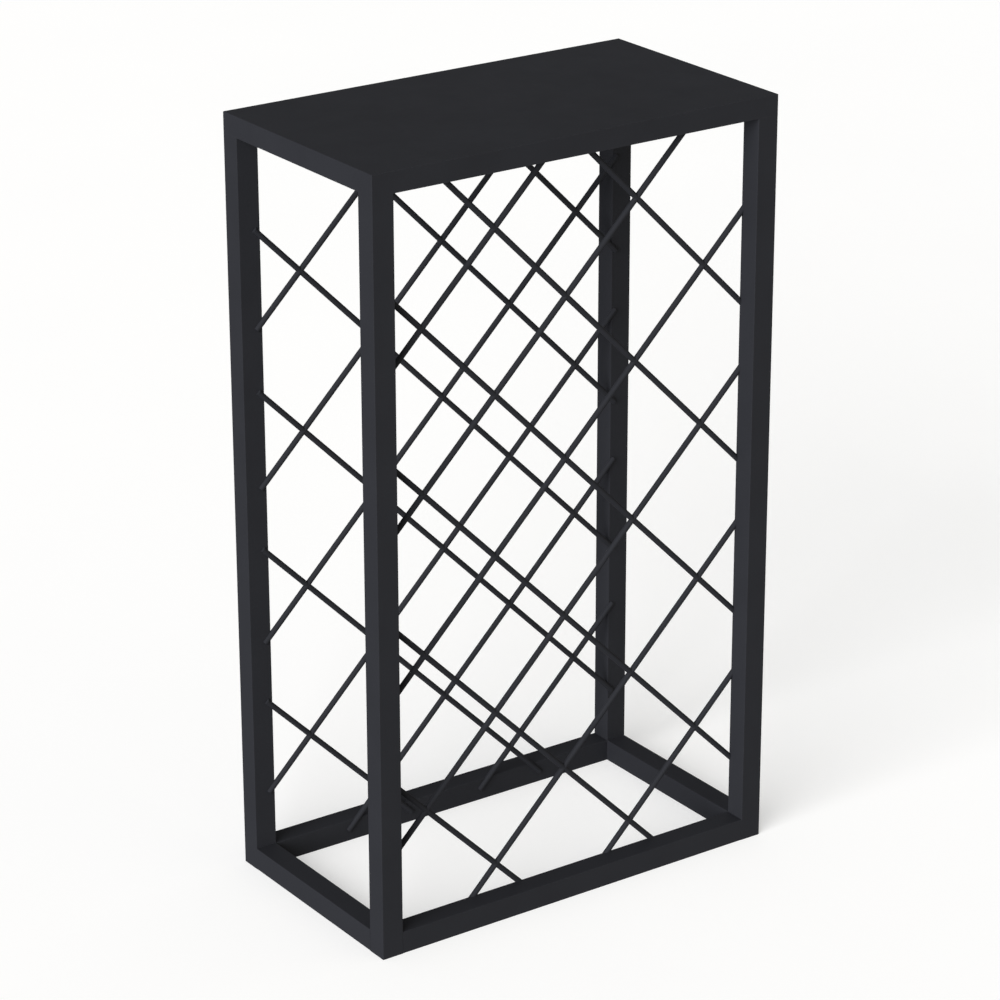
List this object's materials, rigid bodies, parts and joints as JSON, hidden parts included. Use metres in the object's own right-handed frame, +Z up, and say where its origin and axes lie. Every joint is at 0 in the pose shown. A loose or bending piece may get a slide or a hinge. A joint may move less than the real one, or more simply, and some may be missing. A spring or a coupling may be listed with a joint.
{
  "type": "wine rack",
  "caption": "Free-standing wine rack: open square-tube steel frame, flat closed top, and diagonal rod lattices front and back that hold bottles lying down.",
  "frame": {"origin": "on the floor, under the middle of the rack", "axes": "+Z up, +X to the right seen from the front, +Y to the back"},
  "size_m": [0.4, 0.22, 0.68],
  "materials": {
    "frame": "satin powder coat, charcoal black",
    "top": "satin powder coat, charcoal black",
    "rods": "satin powder coat, charcoal black",
    "plug": "matt moulded plastic"
  },
  "bodies": {
    "root": {"back_rod_fall_1": "rods", "back_rod_fall_2": "rods", "back_rod_fall_3": "rods", "back_rod_fall_4": "rods", "back_rod_fall_5": "rods", "back_rod_fall_6": "rods", "back_rod_rise_1": "rods", "back_rod_rise_2": "rods", "back_rod_rise_3": "rods", "back_rod_rise_4": "rods", "back_rod_rise_5": "rods", "back_rod_rise_6": "rods", "front_rod_fall_1": "rods", "front_rod_fall_2": "rods", "front_rod_fall_3": "rods", "front_rod_fall_4": "rods", "front_rod_fall_5": "rods", "front_rod_fall_6": "rods", "front_rod_rise_1": "rods", "front_rod_rise_2": "rods", "front_rod_rise_3": "rods", "front_rod_rise_4": "rods", "front_rod_rise_5": "rods", "front_rod_rise_6": "rods", "plug_back_left": "plug", "plug_back_right": "plug", "plug_front_left": "plug", "plug_front_right": "plug", "post_back_left": "frame", "post_back_right": "frame", "post_front_left": "frame", "post_front_right": "frame", "rail_back": "frame", "rail_front": "frame", "rail_left": "frame", "rail_right": "frame", "top_panel": "top"}
  },
  "joints": []
}
